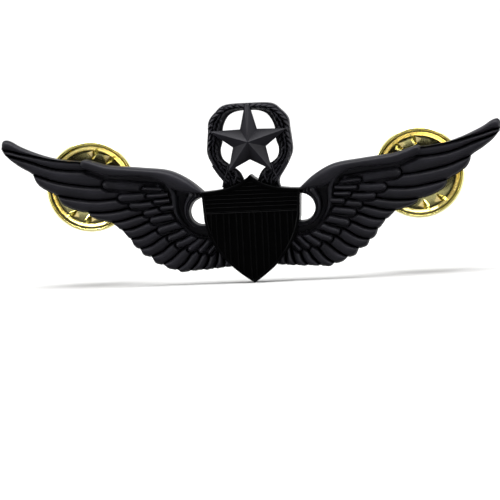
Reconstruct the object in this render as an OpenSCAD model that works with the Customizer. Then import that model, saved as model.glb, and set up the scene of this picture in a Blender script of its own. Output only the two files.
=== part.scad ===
// Pilot wings badge with two posts and their butterfly clutches.
// Frame: +X to the wearer's left, +Z up towards the star, the face looks along -Y.
// The back of the badge is the plane Y = 0, and the two posts stand out of it along +Y.
// Wing outlines are written as [distance from the middle, height], and mirrored for the other side.

/* [Badge] */
// Thickness of the wings between the feathers
wing_web = 1.2; // [1.0:0.1:1.4]
// Height of the long outer feathers above the back
primary_top = 1.7; // [1.5:0.1:1.8]
// Height of the short inner feathers above the back
covert_top = 2.0; // [1.9:0.1:2.1]
// Height of the arm along the top edge above the back
arm_top = 2.5; // [2.3:0.1:2.6]
// Height of the lip round the opening above the back
lip_top = 2.1; // [1.8:0.1:2.3]
// Width of the groove between two feathers
feather_gap = 0.26; // [0.2:0.02:0.4]

/* [Shield] */
// Height of the shield's recessed field above the back
field_top = 2.3; // [2.0:0.1:2.4]
// Height of the shield's rim, bars and stripes above the back
rim_top = 2.7; // [2.5:0.1:2.8]
// Number of bars across the shield's upper panel
bar_count = 7; // [4:1:7]
// Number of stripes below the shield's upper panel
stripe_count = 13; // [9:2:15]

/* [Star and wreath] */
// Share of the star's full size, where 1 reaches almost to the wreath's outer edge
star_share = 1; // [0.94:0.01:1]
// Height of the star's centre above the back plane's middle
star_z = 5.0; // [4.8:0.1:5.1]
// Height of the wreath's seat for the star above the back
seat_top = 1.3; // [1.1:0.1:1.4]
// Height of the wreath above the back
wreath_top = 1.9; // [1.7:0.1:2.0]
// Height of the star's apex above the back
star_top = 3.1; // [2.7:0.1:3.2]

/* [Posts] */
// Distance of each post from the badge's middle
post_x = 21; // [20:0.5:22]
// Radius of a post's shank
post_r = 0.55; // [0.5:0.01:0.55]
// Length of a post from the back of the badge to its point
post_len = 7.4; // [7.0:0.1:7.4]

/* [Clutches] */
// Gap for cloth between the badge's back and a clutch
cloth_gap = 2.0; // [1.8:0.1:2.2]
// Outer radius of a clutch disc
disc_r = 5.75; // [5.5:0.05:5.8]
// Thickness of the clutch's sheet metal
sheet = 0.3; // [0.25:0.01:0.3]
// How far each ear can be squeezed in
ear_travel = 0.55; // [0.4:0.05:0.6]
// Radius of the spring's wire
wire_r = 0.15; // [0.1:0.01:0.18]

/* [Hidden] */
LEFT = -1;
RIGHT = 1;
round_fn = 64;
fuse = 0.05;

// Each groove runs inwards from a notch in the wing's edge.
// Each tip is how the edge bulges before that notch.
top_edge = [[31.64, 5.4], [31.7, 5.85], [31.55, 6.3], [31.2, 6.5], [30.5, 6.28], [29.2, 5.5],
            [26.6, 4.4], [24.1, 3.72], [21.4, 3.4]];
grooves = [
    [[31.35, 4.75], [30.5, 4.42], [29.6, 4.15], [28.1, 3.68], [26.3, 3.0], [24.8, 2.58], [23.1, 2.36],
     [20.8, 2.18], [19.5, 1.85]],
    [[27.8, 2.0], [26.35, 1.5], [25.1, 1.05], [23.2, 0.6], [20.7, 0.2], [19.0, 0.1], [17.0, 0.25]],
    [[24.75, -0.82], [22.5, -1.25], [20.0, -1.6], [17.3, -1.5], [15.0, -1.5]],
    [[21.0, -3.08], [19.0, -3.15], [17.0, -2.97], [15.3, -2.65], [13.3, -2.6]],
    [[18.05, -4.45], [16.5, -4.25], [14.8, -3.78], [12.8, -3.4]],
    [[16.75, -5.5], [15.2, -5.25], [13.7, -4.68], [12.2, -4.3]],
    [[15.7, -6.65], [14.3, -6.45], [12.7, -5.7], [11.3, -5.3]],
    [[14.6, -7.95], [13.1, -7.5], [11.7, -6.6], [10.4, -6.1]],
    [[13.15, -9.0], [11.7, -8.35], [10.6, -7.45], [9.4, -6.9]],
    [[11.75, -10.05], [10.6, -9.35], [9.3, -8.25], [8.3, -7.6]],
    [[10.0, -10.75], [8.9, -9.9], [8.1, -8.85], [7.3, -8.0]],
    [[8.3, -10.95], [7.4, -10.0], [6.9, -9.15], [6.4, -8.2]],
    [[6.7, -10.88], [6.1, -10.1], [5.8, -9.15], [5.5, -8.3]],
    [[5.25, -10.78], [4.85, -9.9], [4.7, -9.1], [4.6, -8.3]],
    [[3.95, -10.7], [3.9, -9.9], [3.95, -9.1], [4.0, -8.3]]
];
tips = [
    [[31.55, 5.05]],
    [[31.0, 4.32], [30.5, 3.82], [29.4, 3.0], [28.3, 2.35]],
    [[27.62, 1.3], [27.1, 0.52], [26.1, -0.16], [25.3, -0.55]],
    [[24.35, -1.8], [23.3, -2.47], [22.0, -2.95]],
    [[20.75, -3.6], [19.8, -4.05]],
    [[17.5, -5.0]],
    [[16.3, -6.15]],
    [[15.35, -7.55]],
    [[14.25, -8.72], [13.7, -8.97]],
    [[12.8, -9.78], [12.3, -10.03]],
    [[11.2, -10.55], [10.6, -10.76]],
    [[9.5, -11.15], [8.8, -11.12]],
    [[7.85, -11.05], [7.2, -10.98]],
    [[6.25, -11.0], [5.8, -10.92]],
    [[4.85, -10.88], [4.4, -10.8]]
];
// Feathers of the upper rows are [tip, middle, root, width].
coverts = [
    [[18.95, 0.42], [15.20, 0.00], [11.10, -0.50], 1.50],
    [[17.05, -1.32], [15.00, -1.42], [12.90, -1.22], 1.24],
    [[15.65, -2.38], [14.00, -2.48], [12.20, -2.25], 1.00],
    [[13.90, -3.45], [12.70, -3.36], [11.40, -3.10], 1.02],
    [[13.10, -4.42], [11.70, -4.25], [9.90, -3.95], 1.12],
    [[12.20, -5.78], [10.90, -5.48], [9.20, -5.05], 1.20],
    [[10.95, -6.82], [9.90, -6.56], [8.60, -6.00], 1.10],
    [[9.95, -7.68], [8.80, -7.36], [7.40, -6.70], 1.10],
    [[8.40, -8.42], [7.40, -7.72], [6.35, -6.95], 1.10],
    [[7.05, -8.65], [6.25, -7.98], [5.45, -7.05], 0.98],
    [[5.85, -8.98], [5.40, -8.45], [4.85, -7.90], 0.78]
];
scapulars = [
    [[13.95, -0.35], [12.80, -0.42], [11.40, -0.55], 0.76],
    [[13.45, -1.30], [12.00, -1.30], [10.60, -1.20], 0.82],
    [[12.55, -2.05], [11.50, -2.05], [10.45, -1.98], 0.80],
    [[11.75, -2.95], [10.90, -2.90], [9.95, -2.85], 0.92]
];
// The arm along the top edge, the trench under it, and the hook that curls from it round the opening.
arm_upper = [[21.45, 3.5], [20.9, 3.6], [19.5, 3.15], [18.0, 2.75], [14.0, 2.3], [10.5, 1.8], [8.0, 0.55],
             [6.15, -1.0]];
arm_lower = [[21.5, 2.65], [20.9, 2.35], [19.5, 1.85], [18.0, 1.38], [14.0, 1.12], [11.8, 0.6], [9.9, -0.7],
             [8.2, -1.15], [6.15, -1.3]];
trench = [[20.6, 2.1], [19.5, 1.62], [18.0, 1.17], [14.0, 0.9], [12.2, 0.5]];
hook_inner = [[6.3, -1.3], [7.2, -1.95], [7.88, -3.1], [7.8, -4.2], [7.2, -5.0], [6.4, -5.3], [5.5, -5.2]];
hook_outer = [[10.75, -0.6], [10.6, -1.0], [10.35, -2.4], [10.05, -3.7], [9.3, -4.95], [8.1, -6.1],
              [6.9, -6.75], [5.2, -7.0]];
ridge = [[10.6, -0.9], [10.25, -2.4], [9.95, -3.6]];
// The oval opening between the wing and the shield.
opening_centre = [6.6, -3.5];
opening_radii = [1.28, 1.65];
lip_w = 0.75;
trench_w = 0.36;

// Shield outline: half of the top edge from its point, and half of the side down to its tip.
shield_peak = 0.9;
shield_corner = [6.25, -1.05];
shield_waist = [6.05, -4.6];
shield_tip = -12.75;
rim_w = 0.4;
bar_w = 0.22;
bar_pitch = 0.51;
panel_w = 2 * shield_corner[0];
fess_z = -3.75;

// Wreath outline and opening, right half, from the top down.
wreath_outer = [[0, 9.92], [2.9, 9.8], [4.2, 8.9], [5.08, 7.8], [5.25, 6.4], [5.42, 4.9], [5.42, 3.5],
                [4.65, 1.8], [3.65, 0.2], [3.7, -0.9]];
wreath_inner = [[0, 9.0], [1.3, 8.95], [2.5, 8.4], [3.3, 7.0], [3.45, 5.2], [3.75, 4.1], [3.55, 3.0],
                [2.8, 2.3], [1.6, 1.4], [1.1, 0.6], [0.8, -0.3]];

// Right half of the star from its blunt top point down, measured from its centre.
star_half = [[0.26, 4.75], [1.08, 1.6], [4.9, 1.5], [2.1, -0.65], [2.75, -3.65], [0, -2.25]];
star_edge = wreath_top + 0.1;

// Clutch levels along the post, measured from the front of the disc.
rim_bead = 0.22;
floor_r = 4.6;
floor_z = 0.75;
floor_back = floor_z + sheet;
bore_r = post_r + 0.07;
prong_ring = 0.70 * disc_r;
prong_w = 1.2;
prong_h = 0.72;
prong_root = 0.15;
prong_lean = 32;
prong_spread = 30;
prong_turn = 22;
cover_r = 3.7;
cover_flange_r = 4.9;
cover_top = 5.9;
window_w = 4.6;
window_top = 5.35;
ear_level_upper = floor_back + 0.5;
ear_level_lower = ear_level_upper + 2 * sheet;
ear_w = 4.0;
tongue_w = 3.0;
tongue_end = 2.1;
tab_z = 3.95;
tab_top = 5.1;
tab_lean = 8;
jaw_r = post_r + 0.03;
spring_level = 3.4;
spring_reach = tab_z - 0.02;
spring_bow = 1.9;
spring_end_x = 0.6;
spring_arc_r = spring_bow + (spring_reach * spring_reach + spring_end_x * spring_end_x
               - spring_bow * spring_bow) / (2 * (spring_bow - spring_end_x));

// A parabola through three points, its direction, and its left-hand normal.
function through(a, m, b, t) = a * (1 - t) * (1 - 2 * t) + m * 4 * t * (1 - t) + b * t * (2 * t - 1);
function heading(a, m, b, t) = a * (4 * t - 3) + m * (4 - 8 * t) + b * (4 * t - 1);
function normal(v) = [-v[1], v[0]] / norm(v);

// Half width of a feather along its length: an oval tip, then parallel sides.
function half_width(f, t) =
    let (tip_t = min(0.5, f[3] / norm(f[0] - f[2])), s = min(t / tip_t, 1))
    f[3] / 2 * sqrt(1 - (1 - s) * (1 - s));
function feather_side(f, side, shrink, order) =
    [for (k = order) let (t = pow(k / 8, 1.6))
        through(f[0], f[1], f[2], t)
        + side * max(half_width(f, t) - shrink, 0.04) * normal(heading(f[0], f[1], f[2], t))];
function feather_points(f, shrink) =
    concat(feather_side(f, 1, shrink, [8:-1:1]), [f[0] + (f[2] - f[0]) * shrink / norm(f[2] - f[0])],
           feather_side(f, -1, shrink, [1:8]));

// Catmull-Rom curve through a list of points.
function spline_at(p, i, t) =
    let (a = p[max(i - 1, 0)], b = p[i], c = p[i + 1], d = p[min(i + 2, len(p) - 1)])
    0.5 * (2 * b + (c - a) * t + (2 * a - 5 * b + 4 * c - d) * t * t
           + (3 * b - a - 3 * c + d) * t * t * t);
function spline(p, n) =
    concat([for (i = [0:len(p) - 2], k = [0:n - 1]) spline_at(p, i, k / n)], [p[len(p) - 1]]);
function bezier(a, b, c, d, t) =
    pow(1 - t, 3) * a + 3 * t * pow(1 - t, 2) * b + 3 * t * t * (1 - t) * c + pow(t, 3) * d;
function reversed(p) = [for (i = [len(p) - 1:-1:0]) p[i]];
// Closes a right-hand half outline with its mirror image, without repeating points on the middle line.
function both_sides(p) = concat(p, [for (q = reversed(p)) if (q[0] > 0.001) [-q[0], q[1]]]);
function ellipse(c, r, n) =
    [for (k = [0:n - 1]) [c[0] + r[0] * cos(360 * k / n), c[1] + r[1] * sin(360 * k / n)]];

// A band of one width along a curve, for grooves and ridges.
function band_side(p, offset) =
    [for (i = [0:len(p) - 1]) p[i] + offset * normal(p[min(i + 1, len(p) - 1)] - p[max(i - 1, 0)])];
function band(p, width) = concat(band_side(p, width / 2), reversed(band_side(p, -width / 2)));
// A groove starts a little outside the edge, so that it cuts right through it.
function started_outside(p) = concat([p[0] + 0.3 * (p[0] - p[1])], p);

// The wing's bottom edge from the tip to the shield: each bulge, then its notch.
bottom_edge = [for (i = [0:len(grooves) - 1]) each concat(tips[i], [grooves[i][0]])];

shield_half = concat(
    [for (k = [0:8]) bezier([0, shield_peak], [1.6, -0.6], [3.6, -0.95], shield_corner, k / 8)],
    [for (k = [0:12]) bezier(shield_waist, [5.6, -7.2], [4.4, -9.9], [0, shield_tip], k / 12)]);
shield_outline = both_sides(shield_half);
star_outline = [for (q = both_sides(star_half)) [0, star_z] + star_share * q];

// Extrudes a front view between two heights above the back plane.
module raise(from, to) {
    rotate([90, 0, 0])
        translate([0, 0, from])
            linear_extrude(to - from)
                children();
}

// Draws a right-hand piece on the asked side of the badge.
module on_side(side) {
    if (side == LEFT) mirror([1, 0, 0]) children();
    else children();
}

// Places a clutch piece on its post: local Z runs along the post, and local +Y is down.
module on_post(side) {
    on_side(side)
        translate([post_x, cloth_gap, 0])
            rotate([-90, 0, 0])
                children();
}

module feather_row(row, shrink) {
    for (f = row) polygon(feather_points(f, shrink));
}

module wing_outline() {
    polygon(concat(reversed(spline(arm_upper, 3)), reversed(spline(top_edge, 3)), bottom_edge,
                   [[2.8, -10.65], [3, -6], [5, -1.2]]));
}

module arm_shape() {
    polygon(concat(spline(arm_upper, 3), reversed(spline(arm_lower, 3))));
}

module hook_shape() {
    polygon(concat(spline(hook_outer, 3), reversed(spline(hook_inner, 3))));
}

module opening_shape(grow) {
    polygon(ellipse(opening_centre, opening_radii + [grow, grow], 32));
}

module feather_rows() {
    difference() {
        raise(wing_web - fuse, primary_top) wing_outline();
        raise(wing_web, primary_top + 1) {
            for (g = grooves) polygon(band(started_outside(spline(g, 3)), feather_gap));
            polygon(band(spline(trench, 3), trench_w));
            hook_shape();
        }
    }
    raise(wing_web - fuse, covert_top) feather_row(coverts, feather_gap / 2);
    raise(wing_web - fuse, covert_top + 0.1) feather_row(scapulars, feather_gap / 2);
}

module hook() {
    raise(wing_web - fuse, covert_top) polygon(band(spline(ridge, 3), feather_gap));
    difference() {
        raise(wing_web - fuse, lip_top) opening_shape(lip_w);
        raise(0, lip_top + 1) translate([4, -1.6]) square([6, 4]);
    }
}

module wing() {
    difference() {
        union() {
            raise(0, wing_web) wing_outline();
            feather_rows();
            hook();
            raise(wing_web - fuse, arm_top) arm_shape();
        }
        raise(-1, arm_top + 1) {
            opening_shape(0);
            polygon(shield_outline);
        }
    }
}

module left_wing() {
    color("#2b2b30") on_side(LEFT) wing();
}

module right_wing() {
    color("#2b2b30") on_side(RIGHT) wing();
}

module shield_inset() {
    translate([0, shield_tip / 2])
        scale(1 - rim_w / 6)
            translate([0, -shield_tip / 2])
                polygon(shield_outline);
}

module shield() {
    stripe_w = 2 * (shield_waist[0] - 2 * rim_w) / stripe_count;
    color("#1c1c20") {
        raise(0, field_top) polygon(shield_outline);
        raise(field_top, rim_top) difference() {
            polygon(shield_outline);
            shield_inset();
        }
        raise(field_top, rim_top - 0.1) intersection() {
            shield_inset();
            union() {
                for (k = [1:bar_count])
                    translate([-panel_w / 2, fess_z + bar_pitch * k]) square([panel_w, bar_w]);
                translate([-panel_w / 2, fess_z - bar_w / 2]) square([panel_w, bar_w]);
                for (k = [0:2:stripe_count - 1])
                    translate([(k - stripe_count / 2) * stripe_w, shield_tip])
                        square([stripe_w, fess_z - shield_tip]);
            }
        }
    }
}

module wreath_shape() {
    difference() {
        polygon(both_sides(spline(wreath_outer, 3)));
        polygon(both_sides(spline(wreath_inner, 3)));
        polygon(shield_outline);
    }
}

module wreath() {
    color("#26262a") {
        raise(0, seat_top) wreath_shape();
        raise(seat_top - fuse, wreath_top) difference() {
            wreath_shape();
            polygon(star_outline);
        }
    }
}

module star() {
    // A flat-backed star whose facets rise from its edge to one apex.
    n = len(star_outline);
    lower = [for (p = star_outline) [p[0], -seat_top, p[1]]];
    upper = [for (p = star_outline) [p[0], -star_edge, p[1]]];
    middle = [[0, -star_top, star_z], [0, -seat_top, star_z]];
    color("#303034")
        polyhedron(
            points = concat(lower, upper, middle),
            faces = concat(
                [for (k = [0:n - 1]) [2 * n, n + (k + 1) % n, n + k]],
                [for (k = [0:n - 1]) [n + k, n + (k + 1) % n, (k + 1) % n, k]],
                [for (k = [0:n - 1]) [2 * n + 1, k, (k + 1) % n]]));
}

module post() {
    // Flange, shank, retaining groove and point, turned in one piece.
    flange_r = 0.95;
    flange_h = 0.25;
    groove_r = post_r - 0.12;
    point_h = 0.85;
    color("#c9a24a")
        translate([post_x, 0, 0])
            rotate([-90, 0, 0])
                rotate_extrude($fn = round_fn)
                    polygon([[0, 0], [flange_r, 0], [flange_r, flange_h], [post_r, flange_h],
                             [post_r, post_len - point_h - 0.5], [groove_r, post_len - point_h - 0.4],
                             [groove_r, post_len - point_h - 0.1], [post_r, post_len - point_h],
                             [0.08, post_len], [0, post_len]]);
}

module left_post() {
    on_side(LEFT) post();
}

module right_post() {
    on_side(RIGHT) post();
}

module solder_fillet() {
    // A ring of solder round the post's flange.
    color("#9a9a9a")
        translate([post_x, 0, 0])
            rotate([-90, 0, 0])
                rotate_extrude($fn = round_fn)
                    polygon([[0.95, 0], [1.5, 0], [1.2, 0.12], [0.95, 0.25]]);
}

module left_solder_fillet() {
    on_side(LEFT) solder_fillet();
}

module right_solder_fillet() {
    on_side(RIGHT) solder_fillet();
}

module clutch_base() {
    color("#d8ac3e") {
        rotate_extrude($fn = round_fn) {
            polygon([[bore_r, floor_z], [floor_r, floor_z], [disc_r - rim_bead - 0.1, 0.1],
                     [disc_r - rim_bead + 0.05, 2 * rim_bead - 0.05], [floor_r + 0.15, floor_back],
                     [bore_r, floor_back]]);
            translate([disc_r - rim_bead, rim_bead]) circle(rim_bead, $fn = 32);
        }
        // Two pairs of triangular prongs that bite the cloth and stop the clutch turning.
        for (a = [0, prong_spread, 180, 180 + prong_spread])
            rotate([0, 0, a - 90 - prong_spread / 2 - prong_turn])
                translate([prong_ring, 0, floor_z])
                    rotate([90 + prong_lean, 0, 0])
                        translate([0, 0, -sheet / 2])
                            linear_extrude(sheet)
                                polygon([[-prong_w / 2, prong_root], [prong_w / 2, prong_root],
                                         [prong_w / 4, -prong_h]]);
    }
}

module left_clutch_base() {
    on_post(LEFT) clutch_base();
}

module right_clutch_base() {
    on_post(RIGHT) clutch_base();
}

module clutch_cover() {
    // A flanged cap over the post's point, cut open above and below for the ears.
    corner = 0.6;
    color("#d8ac3e")
        difference() {
            rotate_extrude($fn = round_fn)
                polygon([[cover_r - sheet, floor_back], [cover_flange_r, floor_back],
                         [cover_flange_r, floor_back + sheet], [cover_r, floor_back + sheet],
                         [cover_r, cover_top - corner], [cover_r - corner * 0.3, cover_top - corner * 0.3],
                         [cover_r - corner, cover_top], [0, cover_top], [0, cover_top - sheet],
                         [cover_r - corner - 0.1, cover_top - sheet],
                         [cover_r - sheet, cover_top - corner - 0.1]]);
            translate([-window_w / 2, -cover_r - 1, floor_back + sheet])
                cube([window_w, 2 * cover_r + 2, window_top - floor_back - sheet]);
        }
}

module left_clutch_cover() {
    on_post(LEFT) clutch_cover();
}

module right_clutch_cover() {
    on_post(RIGHT) clutch_cover();
}

// One squeeze ear: a slotted tongue round the post and an upturned, ribbed thumb tab.
// It is drawn with its tab above the post; level is the tongue's distance from the disc's front.
module ear(level) {
    rib_count = 4;
    rib_pitch = 0.65;
    color("#e0b648")
        difference() {
            union() {
                translate([-tongue_w / 2, -tab_z - sheet, level])
                    cube([tongue_w, tab_z + sheet + tongue_end, sheet]);
                translate([-ear_w / 2, -tab_z, level])
                    rotate([tab_lean, 0, 0])
                        translate([0, -sheet, 0])
                            cube([ear_w, sheet, tab_top - level]);
                for (k = [0:rib_count - 1])
                    translate([0, -tab_z, level])
                        rotate([tab_lean, 0, 0])
                            translate([0, -sheet, tab_top - level - 0.4 - k * rib_pitch])
                                rotate([0, 90, 0])
                                    cylinder(h = ear_w - 0.8, r = 0.15, center = true, $fn = 24);
            }
            // The jaw slot: its far end grips the post, and the squeeze slides it clear.
            translate([0, 0, level - 1]) cylinder(h = 2, r = jaw_r, $fn = round_fn);
            translate([0, -ear_travel - 0.1, level - 1]) cylinder(h = 2, r = jaw_r, $fn = round_fn);
            translate([-jaw_r, -ear_travel - 0.1, level - 1]) cube([2 * jaw_r, ear_travel + 0.1, 2]);
        }
}

module left_upper_ear() {
    on_post(LEFT) ear(ear_level_upper);
}

module right_upper_ear() {
    on_post(RIGHT) ear(ear_level_upper);
}

module left_lower_ear() {
    on_post(LEFT) mirror([0, 1, 0]) ear(ear_level_lower);
}

module right_lower_ear() {
    on_post(RIGHT) mirror([0, 1, 0]) ear(ear_level_lower);
}

module clutch_spring() {
    // A bow of wire beside the post that pushes the two thumb tabs apart.
    half_angle = asin(spring_reach / spring_arc_r);
    color("#b8b8ba")
        translate([spring_arc_r - spring_bow, 0, spring_level])
            rotate([0, 0, 180 - half_angle])
                rotate_extrude(angle = 2 * half_angle, $fn = round_fn)
                    translate([spring_arc_r, 0]) circle(wire_r, $fn = 16);
}

module left_clutch_spring() {
    on_post(LEFT) clutch_spring();
}

module right_clutch_spring() {
    on_post(RIGHT) clutch_spring();
}

left_wing();
right_wing();
shield();
wreath();
star();
left_post();
right_post();
left_solder_fillet();
right_solder_fillet();
left_clutch_base();
right_clutch_base();
left_clutch_cover();
right_clutch_cover();
left_upper_ear();
right_upper_ear();
left_lower_ear();
right_lower_ear();
left_clutch_spring();
right_clutch_spring();
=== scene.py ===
"""Pilot wings pin: black feathered badge with brass butterfly clutches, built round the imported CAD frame."""

import math

import bmesh
import bpy
import numpy as np
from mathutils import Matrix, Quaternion, Vector
from mathutils.geometry import tessellate_polygon
from mathutils.kdtree import KDTree


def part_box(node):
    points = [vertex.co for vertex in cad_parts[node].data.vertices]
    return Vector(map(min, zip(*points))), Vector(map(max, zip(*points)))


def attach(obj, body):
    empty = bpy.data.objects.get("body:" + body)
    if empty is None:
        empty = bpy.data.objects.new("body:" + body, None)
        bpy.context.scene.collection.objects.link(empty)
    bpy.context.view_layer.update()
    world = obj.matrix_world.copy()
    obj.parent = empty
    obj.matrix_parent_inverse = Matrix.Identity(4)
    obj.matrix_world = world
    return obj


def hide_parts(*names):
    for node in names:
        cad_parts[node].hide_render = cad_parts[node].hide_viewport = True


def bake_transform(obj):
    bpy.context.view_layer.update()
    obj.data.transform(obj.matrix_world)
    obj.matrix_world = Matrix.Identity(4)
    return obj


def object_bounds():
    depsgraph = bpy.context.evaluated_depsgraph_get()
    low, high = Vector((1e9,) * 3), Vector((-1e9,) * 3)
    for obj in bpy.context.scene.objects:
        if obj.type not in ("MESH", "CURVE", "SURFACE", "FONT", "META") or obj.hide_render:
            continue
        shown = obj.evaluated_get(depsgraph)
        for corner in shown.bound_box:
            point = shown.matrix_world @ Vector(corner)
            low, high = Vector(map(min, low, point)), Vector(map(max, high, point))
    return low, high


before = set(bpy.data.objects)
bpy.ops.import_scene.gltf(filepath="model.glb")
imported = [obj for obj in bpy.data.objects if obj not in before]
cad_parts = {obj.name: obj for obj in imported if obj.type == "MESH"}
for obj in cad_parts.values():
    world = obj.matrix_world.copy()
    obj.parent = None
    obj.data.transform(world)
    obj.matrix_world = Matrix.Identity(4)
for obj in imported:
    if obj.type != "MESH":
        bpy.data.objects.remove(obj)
cad_low, cad_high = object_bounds()

MM = 0.001
SIDES = {"left": -1.0, "right": 1.0}

# Heights above the badge's back, in mm. Feathers start at BACK_INSET, inside the plate behind them.
WEB_TOP = 0.95
PRIMARY_TOP = 1.72
COVERT_TOP = 1.88
SCAPULAR_TOP = 1.98
ARM_TOP = 2.48
FIELD_TOP = 2.3
RIM_TOP = 2.7
BACK_INSET = 0.02

# How far the camera's axis passes from the origin, in mm.
CAMERA_RIGHT = -0.29
CAMERA_UP = -8.77

# Wing plan: every point is (distance from the badge's middle, height), in mm.
# A groove runs inwards from a notch in the wing's edge, and a tip is how the edge bulges before that notch.
TOP_EDGE = [(31.64, 5.4), (31.69, 5.85), (31.55, 6.3), (31.2, 6.5), (30.5, 6.28), (29.2, 5.5), (26.6, 4.4),
            (24.1, 3.72), (21.4, 3.4)]
GROOVES = [
    [(31.6, 5.25), (30.6, 5.12), (29.3, 4.74), (27.7, 4.38), (26.2, 4.05), (24.2, 3.7), (21.4, 3.38)],
    [(31.35, 4.75), (30.5, 4.42), (29.6, 4.15), (28.1, 3.68), (26.3, 3.0), (24.8, 2.58), (23.1, 2.36),
     (20.8, 2.18), (19.5, 1.85)],
    [(27.8, 2.0), (26.35, 1.5), (25.1, 1.05), (23.2, 0.6), (20.7, 0.2), (19.0, 0.1), (17.0, 0.25)],
    [(24.75, -0.82), (22.5, -1.25), (20.0, -1.6), (17.3, -1.5), (15.0, -1.5)],
    [(21.0, -3.08), (19.0, -3.15), (17.0, -2.97), (15.3, -2.65), (13.3, -2.6)],
    [(18.05, -4.45), (16.5, -4.25), (14.8, -3.78), (12.8, -3.4)],
    [(16.75, -5.5), (15.2, -5.25), (13.7, -4.68), (12.2, -4.3)],
    [(15.7, -6.65), (14.3, -6.45), (12.7, -5.7), (11.3, -5.3)],
    [(14.6, -7.95), (13.1, -7.5), (11.7, -6.6), (10.4, -6.1)],
    [(13.15, -9.0), (11.7, -8.35), (10.6, -7.45), (9.4, -6.9)],
    [(11.75, -10.05), (10.6, -9.35), (9.3, -8.25), (8.3, -7.6)],
    [(10.0, -10.75), (8.9, -9.9), (8.1, -8.85), (7.3, -8.0)],
    [(8.3, -10.95), (7.4, -10.0), (6.9, -9.15), (6.4, -8.2)],
    [(6.7, -10.88), (6.1, -10.1), (5.8, -9.15), (5.5, -8.3)],
    [(5.25, -10.78), (4.85, -9.9), (4.7, -9.1), (4.6, -8.3)],
    [(3.95, -10.7), (3.9, -9.9), (3.95, -9.1), (4.0, -8.3)],
    [(2.85, -10.62), (3.1, -10.1), (3.5, -9.4), (3.8, -8.7)],
]
TIPS = [
    [(31.55, 5.05)],
    [(31.0, 4.32), (30.5, 3.82), (29.4, 3.0), (28.3, 2.35)],
    [(27.62, 1.3), (27.1, 0.52), (26.1, -0.16), (25.3, -0.55)],
    [(24.35, -1.8), (23.3, -2.47), (22.0, -2.95)],
    [(20.75, -3.6), (19.8, -4.05)],
    [(17.5, -5.0)],
    [(16.3, -6.15)],
    [(15.35, -7.55)],
    [(14.25, -8.72), (13.7, -8.97)],
    [(12.8, -9.78), (12.3, -10.03)],
    [(11.2, -10.55), (10.6, -10.76)],
    [(9.5, -11.15), (8.8, -11.12)],
    [(7.85, -11.05), (7.2, -10.98)],
    [(6.25, -11.0), (5.8, -10.92)],
    [(4.85, -10.88), (4.4, -10.8)],
    [(3.5, -10.75), (3.1, -10.7)],
]
# Feathers of the upper rows as (tip, middle, root, width).
COVERTS = [
    ((18.95, 0.42), (15.20, 0.00), (11.10, -0.50), 1.50),
    ((17.05, -1.32), (15.00, -1.42), (12.90, -1.22), 1.24),
    ((15.65, -2.38), (14.00, -2.48), (12.20, -2.25), 1.00),
    ((13.90, -3.45), (12.70, -3.36), (11.40, -3.10), 1.02),
    ((13.10, -4.42), (11.70, -4.25), (9.90, -3.95), 1.12),
    ((12.20, -5.78), (10.90, -5.48), (9.20, -5.05), 1.20),
    ((10.95, -6.82), (9.90, -6.56), (8.60, -6.00), 1.10),
    ((9.95, -7.68), (8.80, -7.36), (7.40, -6.70), 1.10),
    ((8.40, -8.42), (7.40, -7.72), (6.35, -6.95), 1.10),
    ((7.05, -8.65), (6.25, -7.98), (5.45, -7.05), 0.98),
    ((5.85, -8.98), (5.40, -8.45), (4.85, -7.90), 0.78),
]
SCAPULARS = [
    ((13.95, -0.35), (12.80, -0.42), (11.40, -0.55), 0.76),
    ((13.45, -1.30), (12.00, -1.30), (10.60, -1.20), 0.82),
    ((12.55, -2.05), (11.50, -2.05), (10.45, -1.98), 0.80),
    ((11.75, -2.95), (10.90, -2.90), (9.95, -2.85), 0.92),
]
# Both edges of the arm, from its outer end inwards, and both edges of the hook below it.
ARM_UPPER = [(21.6, 3.2), (21.45, 3.5), (20.9, 3.6), (19.5, 3.15), (18.0, 2.75), (14.0, 2.3), (10.5, 1.8),
             (8.0, 0.55), (6.15, -1.0)]
ARM_LOWER = [(21.6, 3.2), (21.5, 2.65), (20.9, 2.35), (19.5, 1.85), (18.0, 1.38), (14.0, 1.12), (11.8, 0.6),
             (9.9, -0.7), (8.2, -1.15), (6.15, -1.3)]
HOOK_INNER = [(6.15, -1.2), (6.05, -1.75), (6.65, -1.93), (7.4, -2.4), (7.85, -3.3), (7.8, -4.1),
              (7.35, -4.8), (6.6, -5.15), (5.5, -5.15)]
HOOK_OUTER = [(11.2, 0.2), (10.6, -1.0), (10.35, -2.4), (10.05, -3.7), (9.3, -4.95), (8.1, -6.1),
              (6.9, -6.75), (5.2, -7.0)]

# Shield: half of the top edge, and half of the side, as Bezier curves, in mm.
SHIELD_TOP_EDGE = ((0.0, 0.9), (1.6, -0.6), (3.6, -0.95), (6.25, -1.05))
SHIELD_SIDE = ((6.05, -4.6), (5.6, -7.2), (4.4, -9.9), (0.0, -12.75))
# The fess is the line between the shield's upper panel of bars and its lower panel of stripes.
FESS_Z = -3.75
BAR_PITCH = 0.51
BAR_W = 0.22
BAR_RISE = 0.3
BARS = 7
# The two bars on the fess line, as (height above it, half width, rise).
FESS_BARS = [(0.10, 0.08, 0.26), (-0.09, 0.13, 0.38)]
STRIPES = 13
STRIPE_RISE = 0.1
STRIPE_BEAD_RISE = 0.34
STRIPE_START = FESS_Z - 0.15
# Half widths, and how far a bead is from its stripe's middle, as shares of the stripes' pitch.
STRIPE_HALF = 0.4
STRIPE_BEAD_HALF = 0.17
STRIPE_BEAD_PLACE = 0.41
SHIELD_RIM_W = 0.4
# The field's bars and stripes end under the rim, this far inside the outline.
FIELD_INSET = 0.36
# How deep their straight backs reach into the field.
FIELD_SINK = 0.2
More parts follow.
